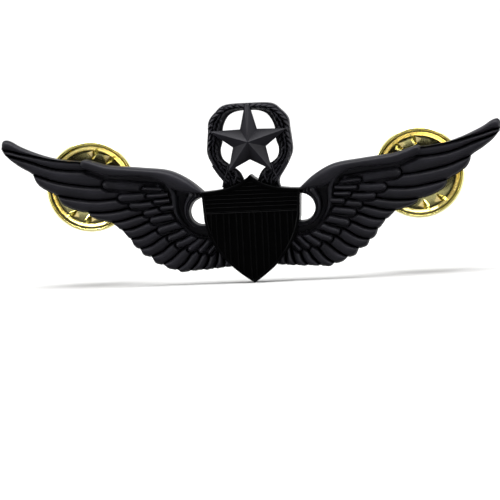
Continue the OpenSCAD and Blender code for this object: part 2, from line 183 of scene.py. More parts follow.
# The rim's section as (inset from the outline, height).
RIM_SECTION = [(0.0, FIELD_TOP - 0.3), (0.0, RIM_TOP - 0.14), (0.05, RIM_TOP - 0.04), (0.13, RIM_TOP),
               (0.26, RIM_TOP - 0.02), (0.36, RIM_TOP - 0.1), (0.42, FIELD_TOP - 0.05)]

# Wreath outline and opening, right half, from the top down, in mm.
WREATH_OUTER = [(0, 9.92), (2.9, 9.8), (4.2, 8.9), (5.08, 7.8), (5.25, 6.4), (5.42, 4.9), (5.42, 3.5),
                (4.65, 1.8), (3.65, 0.2), (3.7, -0.9)]
WREATH_INNER = [(0, 9.0), (1.3, 8.95), (2.5, 8.4), (3.3, 7.0), (3.45, 5.2), (3.75, 4.1), (3.55, 3.0),
                (2.8, 2.3), (1.6, 1.4), (1.1, 0.6), (0.8, -0.3)]
STAR_Z = 5.0
# Right half of the star, measured from its centre: (across, up, height above the back).
STAR_HALF = [(0, 4.78, 2.25), (0.26, 4.7, 2.05), (1.08, 1.6, 1.42), (4.9, 1.5, 2.08), (2.1, -0.65, 1.42),
             (2.75, -3.65, 2.02), (0, -2.25, 1.42)]


# ---------------------------------------------------------------- curves
def lerp(a, b, t):
    """The place a share t of the way from a to b."""
    return a + (b - a) * t


def through(a, m, b, t):
    """Parabola through a, m and b at t = 0, 0.5 and 1."""
    return a * (1 - t) * (1 - 2 * t) + m * 4 * t * (1 - t) + b * t * (2 * t - 1)


def heading(a, m, b, t):
    """Direction of that parabola at t."""
    return a * (4 * t - 3) + m * (4 - 8 * t) + b * (4 * t - 1)


def spline(points, per_span):
    """Catmull-Rom curve through the points."""
    p = [np.array(q, float) for q in points]
    out = []
    for i in range(len(p) - 1):
        a, b, c, d = p[max(i - 1, 0)], p[i], p[i + 1], p[min(i + 2, len(p) - 1)]
        for k in range(per_span):
            t = k / per_span
            out.append(0.5 * (2 * b + (c - a) * t + (2 * a - 5 * b + 4 * c - d) * t * t
                              + (3 * b - a - 3 * c + d) * t ** 3))
    out.append(p[-1])
    return np.array(out)


def bezier(curve, n):
    """Points on a cubic Bezier curve, n spans long."""
    a, b, c, d = (np.array(q, float) for q in curve)
    t = np.linspace(0, 1, n + 1)[:, None]
    return (1 - t) ** 3 * a + 3 * t * (1 - t) ** 2 * b + 3 * t * t * (1 - t) * c + t ** 3 * d


def resample(points, places):
    """Points at the given shares of a polyline's length."""
    p = np.asarray(points, float)
    run = np.concatenate([[0], np.cumsum(np.linalg.norm(np.diff(p, axis=0), axis=1))])
    s = np.asarray(places) * run[-1]
    return np.stack([np.interp(s, run, p[:, k]) for k in range(p.shape[1])], 1)


def both_sides(half):
    """Closes a right-hand half outline with its mirror image."""
    mirrored = [(-x, z) for x, z in reversed(list(half)) if x > 1e-6]
    return [tuple(q) for q in half] + mirrored


# ---------------------------------------------------------------- mesh building
DOUBLES_MM = 0.002
CREASE_DEG = 32


class Solid:
    """Collects vertices and faces of one piece, in mm: x across, z up, h in front of the back plane."""

    def __init__(self):
        self.verts = []
        self.faces = []

    def add(self, points):
        """Adds points given as (x, z, h), and returns the number of the first."""
        first = len(self.verts)
        self.verts.extend((float(x), float(-h), float(z)) for x, z, h in points)
        return first

    def add_world(self, points):
        """The same for points given as (x, y, z) in the world, in mm."""
        first = len(self.verts)
        self.verts.extend(tuple(float(c) for c in p) for p in points)
        return first

    def tube(self, rings, world=False):
        """Skins rings of equal length and closes both ends. Rings hold (x, z, h), or places in the world."""
        n = len(rings[0])
        starts = [self.add_world(r) if world else self.add(r) for r in rings]
        for a, b in zip(starts, starts[1:]):
            for k in range(n):
                j = (k + 1) % n
                self.faces.append((a + k, a + j, b + j, b + k))
        self.faces.append(tuple(starts[0] + k for k in reversed(range(n))))
        self.faces.append(tuple(starts[-1] + k for k in range(n)))

    def plate(self, outline, low, high, holes=(), bevel=0.0):
        """A flat plate between two heights, with holes and a small bevel along the front edge."""
        loops = [list(outline)] + [list(h) for h in holes]
        flat = [[Vector((x, z, 0)) for x, z in loop] for loop in loops]
        tris = tessellate_polygon(flat)
        back = self.add([(x, z, low) for loop in loops for x, z in loop])
        side = self.add([(x, z, high - bevel) for loop in loops for x, z in loop])
        front = side
        if bevel:
            front = self.add([(x, z, high) for loop in loops for x, z in inset(loop, bevel)])
        for a, b, c in tris:
            self.faces.append((back + a, back + b, back + c))
            self.faces.append((front + c, front + b, front + a))
        base = 0
        for loop in loops:
            n = len(loop)
            for k in range(n):
                j = (k + 1) % n
                self.faces.append((back + base + k, back + base + j, side + base + j, side + base + k))
                if bevel:
                    self.faces.append((side + base + k, side + base + j, front + base + j, front + base + k))
            base += n

    def build(self, name, side="right", sharp_angle=CREASE_DEG):
        """Makes the object, mirrored for the left side."""
        mesh = bpy.data.meshes.new(name)
        mesh.from_pydata([(SIDES[side] * x * MM, y * MM, z * MM) for x, y, z in self.verts], [], self.faces)
        mesh.validate()
        obj = bpy.data.objects.new(name, mesh)
        bpy.context.collection.objects.link(obj)
        tidy(obj, sharp_angle)
        return obj


def inset(loop, amount):
    """Moves an outline inwards by a small amount, along the mean of its edge normals."""
    p = np.array(loop, float)
    area = 0.5 * np.sum(p[:, 0] * np.roll(p[:, 1], -1) - np.roll(p[:, 0], -1) * p[:, 1])
    before, after = p - np.roll(p, 1, 0), np.roll(p, -1, 0) - p
    normals = []
    for e in (before, after):
        length = np.maximum(np.linalg.norm(e, axis=1, keepdims=True), 1e-9)
        normals.append(np.stack([-e[:, 1], e[:, 0]], 1) / length)
    n = normals[0] + normals[1]
    n /= np.maximum(np.linalg.norm(n, axis=1, keepdims=True), 0.6)
    return p + n * amount * (1 if area > 0 else -1)


def tidy(obj, sharp_angle=CREASE_DEG):
    """Merges doubles, makes the normals point outwards, and shades smooth with sharp creases."""
    bm = bmesh.new()
    bm.from_mesh(obj.data)
    bmesh.ops.remove_doubles(bm, verts=bm.verts, dist=DOUBLES_MM * MM)
    bmesh.ops.recalc_face_normals(bm, faces=bm.faces)
    limit = math.radians(sharp_angle)
    for f in bm.faces:
        f.smooth = True
    for e in bm.edges:
        e.smooth = e.is_manifold and e.calc_face_angle(0.0) < limit
    bm.to_mesh(obj.data)
    bm.free()


def finish_piece(obj, body, material, nodes):
    """Gives a piece its material, its body, and the CAD nodes that it stands in for."""
    obj.data.materials.clear()
    obj.data.materials.append(material)
    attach(obj, body)
    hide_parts(*nodes)


# ---------------------------------------------------------------- materials
def node_material(name):
    """A new material, with its node tree and its shader."""
    mat = bpy.data.materials.new(name)
    mat.use_nodes = True
    tree = mat.node_tree
    shader = tree.nodes["Principled BSDF"]
    return mat, tree, shader


def add_noise(tree, scale, detail=4.0, rough=0.55):
    """Noise in the piece's own coordinates, with scale in cells per metre: 9000 is a grain of 0.1 mm."""
    coords = tree.nodes.new("ShaderNodeTexCoord")
    noise = tree.nodes.new("ShaderNodeTexNoise")
    noise.inputs["Scale"].default_value = scale
    noise.inputs["Detail"].default_value = detail
    noise.inputs["Roughness"].default_value = rough
    tree.links.new(coords.outputs["Object"], noise.inputs["Vector"])
    return noise.outputs["Fac"]


def add_ramp(tree, source, stops):
    """Colours between stops of (value, colour)."""
    ramp = tree.nodes.new("ShaderNodeValToRGB")
    elements = ramp.color_ramp.elements
    while len(elements) < len(stops):
        elements.new(0.5)
    for element, (place, colour) in zip(elements, stops):
        element.position = place
        element.color = (*colour, 1.0)
    tree.links.new(source, ramp.inputs["Fac"])
    return ramp.outputs["Color"]


def add_range(tree, source, low, high):
    """A 0 to 1 value stretched to run from low to high."""
    node = tree.nodes.new("ShaderNodeMapRange")
    node.inputs["To Min"].default_value = low
    node.inputs["To Max"].default_value = high
    tree.links.new(source, node.inputs["Value"])
    return node.outputs["Result"]


def add_bump(tree, source, strength, distance, below=None):
    """A bumpy normal, on top of another one if below is given."""
    bump = tree.nodes.new("ShaderNodeBump")
    bump.inputs["Strength"].default_value = strength
    bump.inputs["Distance"].default_value = distance
    tree.links.new(source, bump.inputs["Height"])
    if below is not None:
        tree.links.new(below, bump.inputs["Normal"])
    return bump.outputs["Normal"]


def black_enamel(name, dark, light, rough_low, rough_high, specular, grain):
    """Baked black enamel: fine orange-peel grain, faint cloudy tint, and patchy gloss."""
    mat, tree, shader = node_material(name)
    cloud = add_noise(tree, 420.0, 3.0)
    fine = add_noise(tree, 9000.0, 3.0, 0.6)
    speck = add_noise(tree, 26000.0, 2.0, 0.7)
    tree.links.new(add_ramp(tree, cloud, [(0.3, dark), (0.7, light)]), shader.inputs["Base Color"])
    tree.links.new(add_range(tree, fine, rough_low, rough_high), shader.inputs["Roughness"])
    first = add_bump(tree, fine, grain, 0.02 * MM)
    tree.links.new(add_bump(tree, speck, grain * 0.8, 0.008 * MM, first), shader.inputs["Normal"])
    shader.inputs["Specular IOR Level"].default_value = specular
    return mat


def polished_metal(name, deep, bright, rough_low, rough_high, wave):
    """Stamped or turned metal: soft waviness, faint stains, fine polishing marks."""
    mat, tree, shader = node_material(name)
    stain = add_noise(tree, 350.0, 4.0)
    smear = add_noise(tree, 2500.0, 4.0, 0.6)
    ripple = add_noise(tree, 500.0, 1.0)
    tree.links.new(add_ramp(tree, stain, [(0.25, deep), (0.75, bright)]), shader.inputs["Base Color"])
    tree.links.new(add_range(tree, smear, rough_low, rough_high), shader.inputs["Roughness"])
    first = add_bump(tree, ripple, wave, 0.05 * MM)
    tree.links.new(add_bump(tree, smear, 0.15, 0.004 * MM, first), shader.inputs["Normal"])
    shader.inputs["Metallic"].default_value = 1.0
    return mat


WING_BLACK = black_enamel("wing_black", (0.0060, 0.0059, 0.0071), (0.0083, 0.0081, 0.0101),
                          0.30, 0.42, specular=0.030, grain=0.35)
# The shield is the same black enamel as the wings, given a far darker base colour: painted shade for the dark
# reflections in its field.
SHADED_SHIELD_BLACK = black_enamel("shield_black_painted_shade", (0.0003, 0.0003, 0.0004), (0.0007, 0.0007, 0.0008),
                            0.18, 0.28, specular=0.009, grain=0.15)
CLUTCH_BRASS = polished_metal("clutch_brass", (0.72, 0.65, 0.25), (0.85, 0.80, 0.38), 0.14, 0.26, wave=0.12)
CAP_BRASS = polished_metal("cap_brass", (0.60, 0.48, 0.19), (0.73, 0.60, 0.28), 0.16, 0.28, wave=0.12)
POST_BRASS = polished_metal("post_brass", (0.62, 0.45, 0.2), (0.74, 0.56, 0.28), 0.2, 0.36, wave=0.2)
SPRING_STEEL = polished_metal("spring_steel", (0.55, 0.55, 0.56), (0.68, 0.68, 0.69), 0.15, 0.28, wave=0.1)
SOLDER = polished_metal("solder", (0.36, 0.36, 0.37), (0.52, 0.52, 0.53), 0.3, 0.5, wave=0.6)


# ---------------------------------------------------------------- wings
LENGTH_STEPS = 40
FEATHER_GAP = 0.10
UPPER_ROW_FOOT = 0.6
HOOK_BED = 0.4
# Depth and width of the dark trench below the arm, and of the grooves between the rows of feathers.
TRENCH = (1.1, 0.56)
ROW_GROOVE = (0.9, 0.23)
ACROSS = np.sin(np.linspace(-0.5, 0.5, 25) * math.pi)


def crowned(across, width):
    """Cross-section of a feather: softly rounded, with a narrow gap left along both of its edges."""
    reach = np.minimum(np.abs(across) * width / (width - 2 * FEATHER_GAP), 1.0)
    return (1 - reach ** 2.4) ** 0.5 + 0.03 * np.exp(-(across / 0.08) ** 2)


def rounded(share):
    """Quarter round from 0 to 1, for the ends of feathers."""
    return math.sqrt(1 - (1 - min(share, 1.0)) ** 2)


def feather_sections(spec):
    """Centre, sideways direction and roundness of a short feather at points along it, from its tip."""
    tip, mid, root = (np.array(q, float) for q in spec[:3])
    tip_t = min(0.5, 0.55 * spec[3] / np.linalg.norm(tip - root))
    for k in range(LENGTH_STEPS + 1):
        t = max((k / LENGTH_STEPS) ** 1.7, 0.0012)
        d = heading(tip, mid, root, t)
        yield through(tip, mid, root, t), np.array([-d[1], d[0]]) / np.linalg.norm(d), rounded(t / tip_t)


def feather_edge(spec):
    """The outline of a short feather's outer half, which the feathers under it are cut away along."""
    ends = list(feather_sections(spec))[:int(0.85 * LENGTH_STEPS)]
    return [c + side * n * spec[3] / 2 * oval for c, n, oval in ends for side in (1, -1)]


def moat(curves, depth, width, below=None):
    """Returns a function that lowers ring points near the curves, so that a dark line parts the feathers."""
    spots = [p for curve in curves for p in curve]
    tree = KDTree(len(spots))
    for k, p in enumerate(spots):
        tree.insert((p[0], p[1], 0.0), k)
    tree.balance()

    def cut(x, z, h):
        gap = tree.find((x, z, 0.0))[2]
        h -= min(depth, max(h - WEB_TOP, 0.0)) * math.exp(-(gap / width) ** 4)
        return below(x, z, h) if below else h

    return cut


def feather(solid, spec, top, cut=None):
    """One feather of the upper rows: a blunt oval tip, parallel sides and a crowned face."""
    rings = []
    for c, n, oval in feather_sections(spec):
        half = spec[3] / 2 * oval
        height = WEB_TOP + (top - WEB_TOP) * (0.3 + 0.7 * oval) * crowned(ACROSS, spec[3])
        ring = [(*(c + n * half * a), h) for a, h in zip(ACROSS, height)]
        if cut:
            ring = [(x, z, cut(x, z, h)) for x, z, h in ring]
        ring += [(*(c + n * half), UPPER_ROW_FOOT), (*(c - n * half), UPPER_ROW_FOOT)]
        rings.append(np.array(ring))
    solid.tube(rings)


def ruled(solid, upper, lower, profile, steps, shares, power=1.0, cut=None, undercut=0.0):
    """A band between two curves, with its height given by profile(along, across, width).

    A power above 1 crowds the steps towards the first end. An undercut draws the back in, away from
    the upper curve.
    """
    places = np.linspace(0, 1, steps + 1) ** power
    a, b = resample(spline(upper, 12), places), resample(spline(lower, 12), places)
    rings = []
    for k, u in enumerate(places):
        width = max(np.linalg.norm(a[k] - b[k]), 3 * FEATHER_GAP)
        ring = [(*lerp(a[k], b[k], s), profile(u, s, width)) for s in shares]
        if cut:
            ring = [(x, z, cut(x, z, h)) for x, z, h in ring]
        ring += [(*b[k], BACK_INSET), (*lerp(a[k], b[k], undercut), BACK_INSET)]
        rings.append(np.array(ring))
    solid.tube(rings)


def primary_height(u, s, width):
    """A long feather of the bottom row, drooping a little at its tip."""
    return WEB_TOP + (PRIMARY_TOP - WEB_TOP) * (0.35 + 0.65 * rounded(u / 0.10)) * crowned(2 * s - 1, width)


def arm_height(u, s, _):
    """The arm is a half-round roll, fullest at the shoulder, with a steep underside."""
    swell = lerp(0.62, 1.0, min(u / 0.45, 1.0))
    crown = max(1 - abs(2 * s - 1) ** 2.6, 0.0) ** 0.5
    low = lerp(1.3, WEB_TOP, s)
    return low + (ARM_TOP - low) * crown * swell * rounded(u / 0.05)


def hook_height(u, s, _):
    """The curl round the opening: a combed lip inside, a deep valley, and a thin ridge outside."""
    lip = 1.55 * math.exp(-((s - 0.23) / 0.2) ** 6)
    comb = 0.1 * math.cos(2 * math.pi * s / 0.1) * math.exp(-((s - 0.23) / 0.18) ** 4)
    ridge = 1.45 * math.exp(-((s - 0.86) / 0.1) ** 4) * max(1 - (u / 0.66) ** 5, 0.0)
    edge = min(s, 1 - s) / 0.05
    return HOOK_BED + (lip + comb + ridge) * min(edge, 1.0)


def wing_web_outline():
    """The plain plate behind the feathers. It stops short of the hook, and every notch lies on it."""
    upper = [tuple(q) for q in spline(TOP_EDGE, 4)] + [(18.0, 2.6), (14.0, 2.2), (10.5, 1.7), (8.0, 0.45)]
    hook = [(6.2, -1.05), (6.2, -1.4), (9.0, -1.2), (10.35, -1.6), (10.3, -2.8), (9.9, -4.0), (9.0, -5.2),
            (7.9, -6.2), (6.6, -6.8), (5.1, -7.0), (3.6, -9.2)]
    edge = []
    for groove in reversed(GROOVES[1:]):
        notch = np.array(groove[0])
        edge.append(tuple(notch + 0.05 * (np.array(groove[1]) - notch)))
    return upper + hook + edge


def build_wing(side):
    """One wing: long feathers at the bottom, two short rows over them, then the arm and the hook."""
    solid = Solid()
    solid.plate(wing_web_outline(), 0.0, WEB_TOP)
    uppers = [TOP_EDGE] + GROOVES[:-1]
    tips = [[]] + TIPS
    trench = moat([resample(spline(ARM_LOWER, 12), np.linspace(0.1, 1, 160))], *TRENCH)
    hook_edge = resample(spline(HOOK_OUTER, 12), np.linspace(0, 1, 160))
    upper_edges = [hook_edge] + [feather_edge(spec) for spec in SCAPULARS]
    below_scapulars = moat(upper_edges, *ROW_GROOVE, trench)
    below_coverts = moat(upper_edges + [feather_edge(spec) for spec in COVERTS], *ROW_GROOVE, trench)
    shares = (ACROSS + 1) / 2
    for upper, tip, lower in zip(uppers, tips, GROOVES):
        edge = [upper[0]] + tip + lower
        ruled(solid, upper, edge, primary_height, 110, shares, power=1.3, cut=below_coverts)
    for spec in COVERTS:
        feather(solid, spec, COVERT_TOP, below_scapulars)
    for spec in SCAPULARS:
        feather(solid, spec, SCAPULAR_TOP)
    ruled(solid, ARM_UPPER, ARM_LOWER, arm_height, 90, shares, power=1.2)
    ruled(solid, HOOK_INNER, HOOK_OUTER, hook_height, 60, np.linspace(0, 1, 61), undercut=0.12)
    obj = solid.build(f"{side}_wing_relief", side, sharp_angle=40)
    finish_piece(obj, "badge", WING_BLACK, [f"{side}_wing"])


# ---------------------------------------------------------------- shield
def shield_outline():
    """The shield's outline, from the middle of its top edge round to the same place."""
    return both_sides(list(bezier(SHIELD_TOP_EDGE, 16)) + list(bezier(SHIELD_SIDE, 30)))


def crossings(outline, axis, value):
    """The other coordinate wherever an outline crosses a line of constant x (axis 0) or z (axis 1)."""
    p = np.array(outline)
    q = np.roll(p, -1, 0)
    other = 1 - axis
    hits = []
    for a, b in zip(p, q):
        if (a[axis] - value) * (b[axis] - value) <= 0 and abs(a[axis] - b[axis]) > 1e-9:
            hits.append(lerp(a[other], b[other], (value - a[axis]) / (b[axis] - a[axis])))
    return hits


def shield_rim(solid, outline):
    """A rounded band that follows the outline."""
    loops = [inset(outline, d) for d, _ in RIM_SECTION]
    rings = [[(*loop[k], h) for loop, (_, h) in zip(loops, RIM_SECTION)] for k in range(len(outline))]
    starts = [solid.add(r) for r in rings]
    last = len(RIM_SECTION) - 1
    for a, b in zip(starts, starts[1:] + starts[:1]):
        for j in range(last):
            solid.faces.append((a + j, b + j, b + j + 1, a + j + 1))
        solid.faces.append((a + last, b + last, b, a))


def build_shield():
    """A rimmed plate with level bars in its upper panel and upright stripes in its lower panel."""
    solid = Solid()
    outline = shield_outline()
    solid.plate(outline, 0.0, FIELD_TOP)
    shield_rim(solid, outline)
    field = inset(outline, FIELD_INSET)
    for k in range(BARS):
        z = FESS_Z + BAR_PITCH * (k + 1) + BAR_W / 2
        bar(solid, max(crossings(field, 1, z + BAR_W / 2)), z, BAR_W / 2, BAR_RISE)
    for shift, half, rise in FESS_BARS:
        bar(solid, max(crossings(field, 1, FESS_Z)), FESS_Z + shift, half, rise)
    # Every other stripe is raised, between two beaded edges.
    pitch = 2 * (SHIELD_SIDE[0][0] - 2 * SHIELD_RIM_W) / STRIPES
    for k in range(0, STRIPES, 2):
        x = (k - (STRIPES - 1) / 2) * pitch
        stripe(solid, field, x, pitch * STRIPE_HALF, STRIPE_RISE)
        for shift in (-STRIPE_BEAD_PLACE, STRIPE_BEAD_PLACE):
            stripe(solid, field, x + shift * pitch, pitch * STRIPE_BEAD_HALF, STRIPE_BEAD_RISE)
    obj = solid.build("shield_relief", sharp_angle=40)
    finish_piece(obj, "badge", SHADED_SHIELD_BLACK, ["shield"])


def bar(solid, reach, z, half, rise):
    """A level half-round bar across the shield's field."""
    section = [(z + half * math.cos(q), FIELD_TOP + rise * math.sin(q)) for q in np.linspace(0, math.pi, 9)]
    section += [(z - half, FIELD_TOP - FIELD_SINK), (z + half, FIELD_TOP - FIELD_SINK)]
    solid.tube([[(x, *place) for place in section] for x in (-reach, 0, reach)])


def stripe(solid, field, x, half, rise):
    """An upright half-round stripe that ends on the rim."""
    turn = np.linspace(0, math.pi, 9)
    xs = x + half * np.cos(turn)
    rings = []
    for ends in ([STRIPE_START] * len(xs), [min(crossings(field, 0, place)) for place in xs]):
        ring = [(place, z, FIELD_TOP + rise * math.sin(q) ** 0.7) for place, z, q in zip(xs, ends, turn)]
        ring += [(xs[-1], ends[-1], FIELD_TOP - FIELD_SINK), (xs[0], ends[0], FIELD_TOP - FIELD_SINK)]
        rings.append(ring)
    solid.tube(rings)


# ---------------------------------------------------------------- star and wreath
# Heights above the badge's back, in mm.
STAR_FOOT = 1.3
STAR_APEX = 3.08
WREATH_BED = 1.2
WREATH_LEAF = 1.74
LEAF_FOOT = 0.45
STEM_FOOT = 0.6
# Sizes within the wreath, in mm, and the leaves' lean across a branch, in degrees.
LEAF_LENGTH = 1.4
LEAF_WIDTH = 0.62
LEAF_PITCH = 0.72
LEAF_LEAN = 34
LEAF_LEAN_SPREAD = 7
# Leaves are spread from this share of the band's width to this far from its outer edge.
LEAF_FIRST = 0.17
LEAF_MARGIN = 0.30
BERRY_R = 0.2
STEM_HALF = 0.11
# Crossing stems near the shield, on the right half.
STEMS = [[(5.15, 4.1), (4.6, 2.5), (3.7, 1.1), (2.8, 0.1)], [(4.75, 2.2), (3.95, 0.95), (3.1, -0.1)],
         [(2.65, 2.3), (2.95, 1.3), (3.35, 0.3), (3.55, -0.6)], [(1.95, 1.35), (1.8, 0.7), (2.15, -0.2)]]


def build_star():
    """Five-pointed star: a ridge along each point, and straight sides down to the wreath."""
    solid = Solid()
    outline = STAR_HALF + [(-x, z, h) for x, z, h in reversed(STAR_HALF) if x]
    n = len(outline)
    foot = solid.add([(x, STAR_Z + z, STAR_FOOT) for x, z, _ in outline])
    edge = solid.add([(x, STAR_Z + z, h) for x, z, h in outline])
    apex = solid.add([(0, STAR_Z, STAR_APEX), (0, STAR_Z, STAR_FOOT)])
    for k in range(n):
        j = (k + 1) % n
        solid.faces += [(apex, edge + j, edge + k), (edge + k, edge + j, foot + j, foot + k),
                        (apex + 1, foot + k, foot + j)]
    obj = solid.build("star_relief", sharp_angle=10)
    bevel = obj.modifiers.new("edge", "BEVEL")
    bevel.width = 0.04 * MM
    bevel.segments = 2
    bevel.limit_method = "ANGLE"
    bevel.angle_limit = math.radians(12)
    finish_piece(obj, "badge", WING_BLACK, ["star"])


def leaf(solid, centre, direction, length, top):
    """A pointed laurel leaf with a midrib and turned-down edges."""
    d = np.array(direction, float) / np.linalg.norm(direction)
    n = np.array([-d[1], d[0]])
    across = np.linspace(-1, 1, 9)
    rings = []
    for k in range(11):
        t = k / 10
        swell = max(math.sin(math.pi * min(t * 0.97 + 0.02, 1)) ** 0.75, 0.04)
        c = np.array(centre) + d * length * (t - 0.5)
        side = n * LEAF_WIDTH / 2 * swell
        vein = 0.1 * np.exp(-(across / 0.2) ** 2)
        crown = 0.35 + 0.65 * (1 - np.abs(across) ** 1.8)
        height = LEAF_FOOT + (top - LEAF_FOOT) * (0.55 + 0.45 * swell) * crown + vein
        ring = [(*(c + side * a), h) for a, h in zip(across, height)]
        ring += [(*(c + side), LEAF_FOOT), (*(c - side), LEAF_FOOT)]
        rings.append(np.array(ring))
    solid.tube(rings)


def berry(solid, centre, radius, foot):
    """A small round berry between the leaves."""
    rings = []
    for k in range(6):
        a = math.pi / 2 * k / 5
        r = max(radius * math.cos(a), radius * 0.02)
        turn = np.linspace(0, 2 * math.pi, 13)[:-1]
        rings.append(np.array([(centre[0] + r * math.cos(q), centre[1] + r * math.sin(q),
                                foot + radius * 1.3 * math.sin(a)) for q in turn]))
    solid.tube(rings)


def ridge(solid, points, half, low, top):
    """A raised half-round line along a curve, such as a stem."""
    path = spline(points, 8)
    turn = np.linspace(0, math.pi, 9)
    rings = []
    for k, c in enumerate(path):
        d = path[min(k + 1, len(path) - 1)] - path[max(k - 1, 0)]
        n = np.array([-d[1], d[0]]) / np.linalg.norm(d)
        ring = [(*(c + n * half * math.cos(q)), top - half + half * math.sin(q)) for q in turn]
        ring += [(*(c - n * half), low), (*(c + n * half), low)]
        rings.append(np.array(ring))
    solid.tube(rings)


def turned(vector, degrees):
    """The vector turned clockwise."""
    a = math.radians(degrees)
    return np.array([vector[0] * math.cos(a) + vector[1] * math.sin(a),
                     -vector[0] * math.sin(a) + vector[1] * math.cos(a)])


def build_wreath():
    """Two laurel branches: rows of overlapping leaves that climb from the shield and meet at the top."""
    rng = np.random.default_rng(7)
    solid = Solid()
    outer, inner = spline(WREATH_OUTER, 6), spline(WREATH_INNER, 6)
    body_outer = [tuple(q) for q in inset(both_sides(outer), 0.05)]
    body_inner = [tuple(q) for q in inset(both_sides(inner), -0.03)]
    solid.plate(body_outer, 0.0, WREATH_BED, holes=[body_inner], bevel=0.08)
    a, b = (resample(curve, np.linspace(0, 1, 61)) for curve in (outer, inner))
    mid = (a + b) / 2
    for sign in (1, -1):
        for step, i in enumerate(range(57, 1, -3)):
            band = np.linalg.norm(a[i] - b[i])
            along = mid[max(i - 4, 0)] - mid[i]
            count = max(2, round(band / LEAF_PITCH))
            for j in range(count):
                share = (j + 0.5) / count
                splay = lerp(LEAF_LEAN, -LEAF_LEAN, share) + rng.uniform(-LEAF_LEAN_SPREAD, LEAF_LEAN_SPREAD)
                place = lerp(LEAF_FIRST, 1 - LEAF_MARGIN / band, share)
                centre = lerp(b[i], a[i], place) + along * 0.12 * (j % 2)
                d = turned(along, splay)
                size = LEAF_LENGTH * rng.uniform(0.9, 1.12)
                top = WREATH_LEAF + 0.14 * math.sin(math.pi * share) + rng.uniform(-0.05, 0.05)
                leaf(solid, (sign * centre[0], centre[1]), (sign * d[0], d[1]), size, top)
            if step % 2:
                spot = lerp(b[i], a[i], rng.uniform(0.15, 0.85))
                berry(solid, (sign * spot[0], spot[1]), BERRY_R, WREATH_LEAF - 0.1)
        for stem in STEMS:
            ridge(solid, [(sign * x, z) for x, z in stem], STEM_HALF, STEM_FOOT, WREATH_LEAF + 0.16)
    obj = solid.build("wreath_relief", sharp_angle=40)
    finish_piece(obj, "badge", WING_BLACK, ["wreath"])


for side in SIDES:
    build_wing(side)
build_shield()
build_star()
build_wreath()

# ---------------------------------------------------------------- posts and clutches
# Sizes below are in mm. Places on a clutch are (across, up, back), measured from where the post's middle
# line meets the front of the disc.
SHEET = 0.3
post_low, post_high = (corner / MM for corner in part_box("right_post"))
base_low, base_high = (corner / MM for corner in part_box("right_clutch_base"))
cover_low, cover_high = (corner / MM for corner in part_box("right_clutch_cover"))
POST_X = (post_low.x + post_high.x) / 2
POST_R = 0.55
POST_END = post_high.y
# The room for cloth between the badge's back and the discs.
CLOTH_GAP = base_low.y
DISC_R = (base_high.x - base_low.x) / 2
FLOOR_BACK = cover_low.y - CLOTH_GAP
FLOOR = FLOOR_BACK - SHEET
FLANGE_R = (cover_high.x - cover_low.x) / 2
COVER_TOP = cover_high.y - CLOTH_GAP
COVER_R = 3.7
CROWN_R = 0.62
WINDOW_HALF = 2.3
WINDOW_R = 0.35
BEAD_R = 0.19
BORE_R = 0.62
# An ear's jaw is a slot that lets the ear slide by TRAVEL when it is squeezed.
JAW_R = 0.58
TRAVEL = 0.55
END_SIGNS = {"upper": 1, "lower": -1}
# An ear's tongue runs from its rounded end, past the post, to the bend that starts the leaning thumb tab.
TAB_LEAN = math.radians(8)
TONGUE_END = -2.08
BEND_UP = 3.58
BEND_R = 0.42
TONGUE_HALF = 1.5
TONGUE_ROUND = 0.9
TAB_HALF = 1.99
TAB_ROUND = 0.55
# The pressed ribs on a thumb tab.
RIBS = 4
RIB_PITCH = 0.62
RIB_HALF = 0.13
RIB_RISE = 0.13
# The bow spring's wire.
WIRE_R = 0.145
# The disc's stamped prongs: where round it they are, how far out, and half of their root's length.
PRONG_ANGLES = (97, 127, 277, 307)
PRONG_R = 0.70 * DISC_R
PRONG_HALF = 0.62
# How far round the disc a prong's opening and its bent-up point reach, from its root line.
PRONG_CUT = 0.95
PRONG_REACH = 0.46


def at_post(across, up, back):
    """World coordinates, in mm, of a place on the right clutch."""
    return (POST_X + across, CLOTH_GAP + back, up)


def arc(centre, radius, start, end, count):
    """Points on an arc, from one angle to another in degrees."""
    angles = np.radians(np.linspace(start, end, count + 1))
    return [(centre[0] + radius * math.cos(q), centre[1] + radius * math.sin(q)) for q in angles]


def lathe(solid, profile, segments=112, spread=None):
    """Turns a closed profile of (radius, back) round the post; spread(angle) may swell it."""
    starts = []
    for k in range(segments):
        q = 2 * math.pi * k / segments
        swell = spread(q) if spread else 1.0
        starts.append(solid.add_world([at_post(r * swell * math.cos(q), r * swell * math.sin(q), c)
                                       for r, c in profile]))
    n = len(profile)
    for a, b in zip(starts, starts[1:] + starts[:1]):
        for j in range(n):
            i = (j + 1) % n
            solid.faces.append((a + j, b + j, b + i, a + i))


def prism(solid, outline, start, end):
    """A straight prism along the post's direction, from a closed outline of (across, up)."""
    solid.tube([[at_post(x, z, c) for x, z in outline] for c in (start, end)], world=True)


def carve(obj, cutter):
    """Cuts one closed mesh out of another and shades the result again."""
    cut = obj.modifiers.new("cut", "BOOLEAN")
    cut.object = cutter
    cut.operation = "DIFFERENCE"
    cut.solver = "EXACT"
    depsgraph = bpy.context.evaluated_depsgraph_get()
    obj.data = bpy.data.meshes.new_from_object(obj.evaluated_get(depsgraph))
    obj.modifiers.clear()
    bpy.data.objects.remove(cutter)
    tidy(obj)


def prong_corners(angle):
    """Both ends of the root line of a stamped prong, and the direction round the disc."""
    a = math.radians(angle)
    out, turn = np.array([math.cos(a), math.sin(a)]), np.array([-math.sin(a), math.cos(a)])
    return out * (PRONG_R - PRONG_HALF), out * (PRONG_R + PRONG_HALF), turn


def along_root(inner, outer, shift):
    """A place beside the root line of a prong, nearer its outer end."""
    return inner * 0.35 + outer * 0.65 + shift


